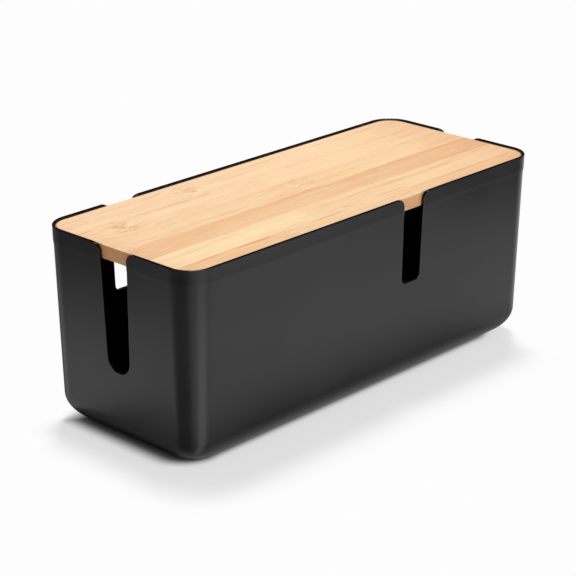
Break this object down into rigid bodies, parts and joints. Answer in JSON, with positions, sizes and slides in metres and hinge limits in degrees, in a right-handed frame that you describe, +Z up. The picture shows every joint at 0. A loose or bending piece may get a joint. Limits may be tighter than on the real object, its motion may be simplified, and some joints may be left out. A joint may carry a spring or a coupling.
{
  "type": "cable management box",
  "caption": "Open-topped plastic box that hides a power strip and its cables, with a cable slot in each wall and a drop-in bamboo lid that lifts off.",
  "frame": {"origin": "on the surface the box stands on, under the middle of the tub", "axes": "+Z up out of the open top, +X along the long side, -Y the long front with the slot right of centre"},
  "size_m": [0.3206, 0.1296, 0.128],
  "materials": {
    "black_plastic": "fine matt moulded texture",
    "black_rubber": "matt soft rubber",
    "bamboo_tan": "sanded bamboo, clear matt lacquer",
    "bamboo_pale": "sanded bamboo, clear matt lacquer",
    "bamboo_dark": "sanded bamboo, clear matt lacquer",
    "bamboo_mid": "sanded bamboo, clear matt lacquer"
  },
  "bodies": {
    "tub": {"tub": "black_plastic", "foot_front_left": "black_rubber", "foot_front_right": "black_rubber", "foot_back_left": "black_rubber", "foot_back_right": "black_rubber"},
    "lid": {"lid_strip_1": "bamboo_tan", "lid_strip_2": "bamboo_pale", "lid_strip_3": "bamboo_dark", "lid_strip_4": "bamboo_mid", "lid_strip_5": "bamboo_mid", "lid_strip_6": "bamboo_mid", "lid_strip_7": "bamboo_mid"}
  },
  "joints": [
    {"name": "lid_lift", "type": "slide", "parent": "tub", "child": "lid", "axis": [0, 0, 1], "range_m": [0, 0.12]}
  ]
}
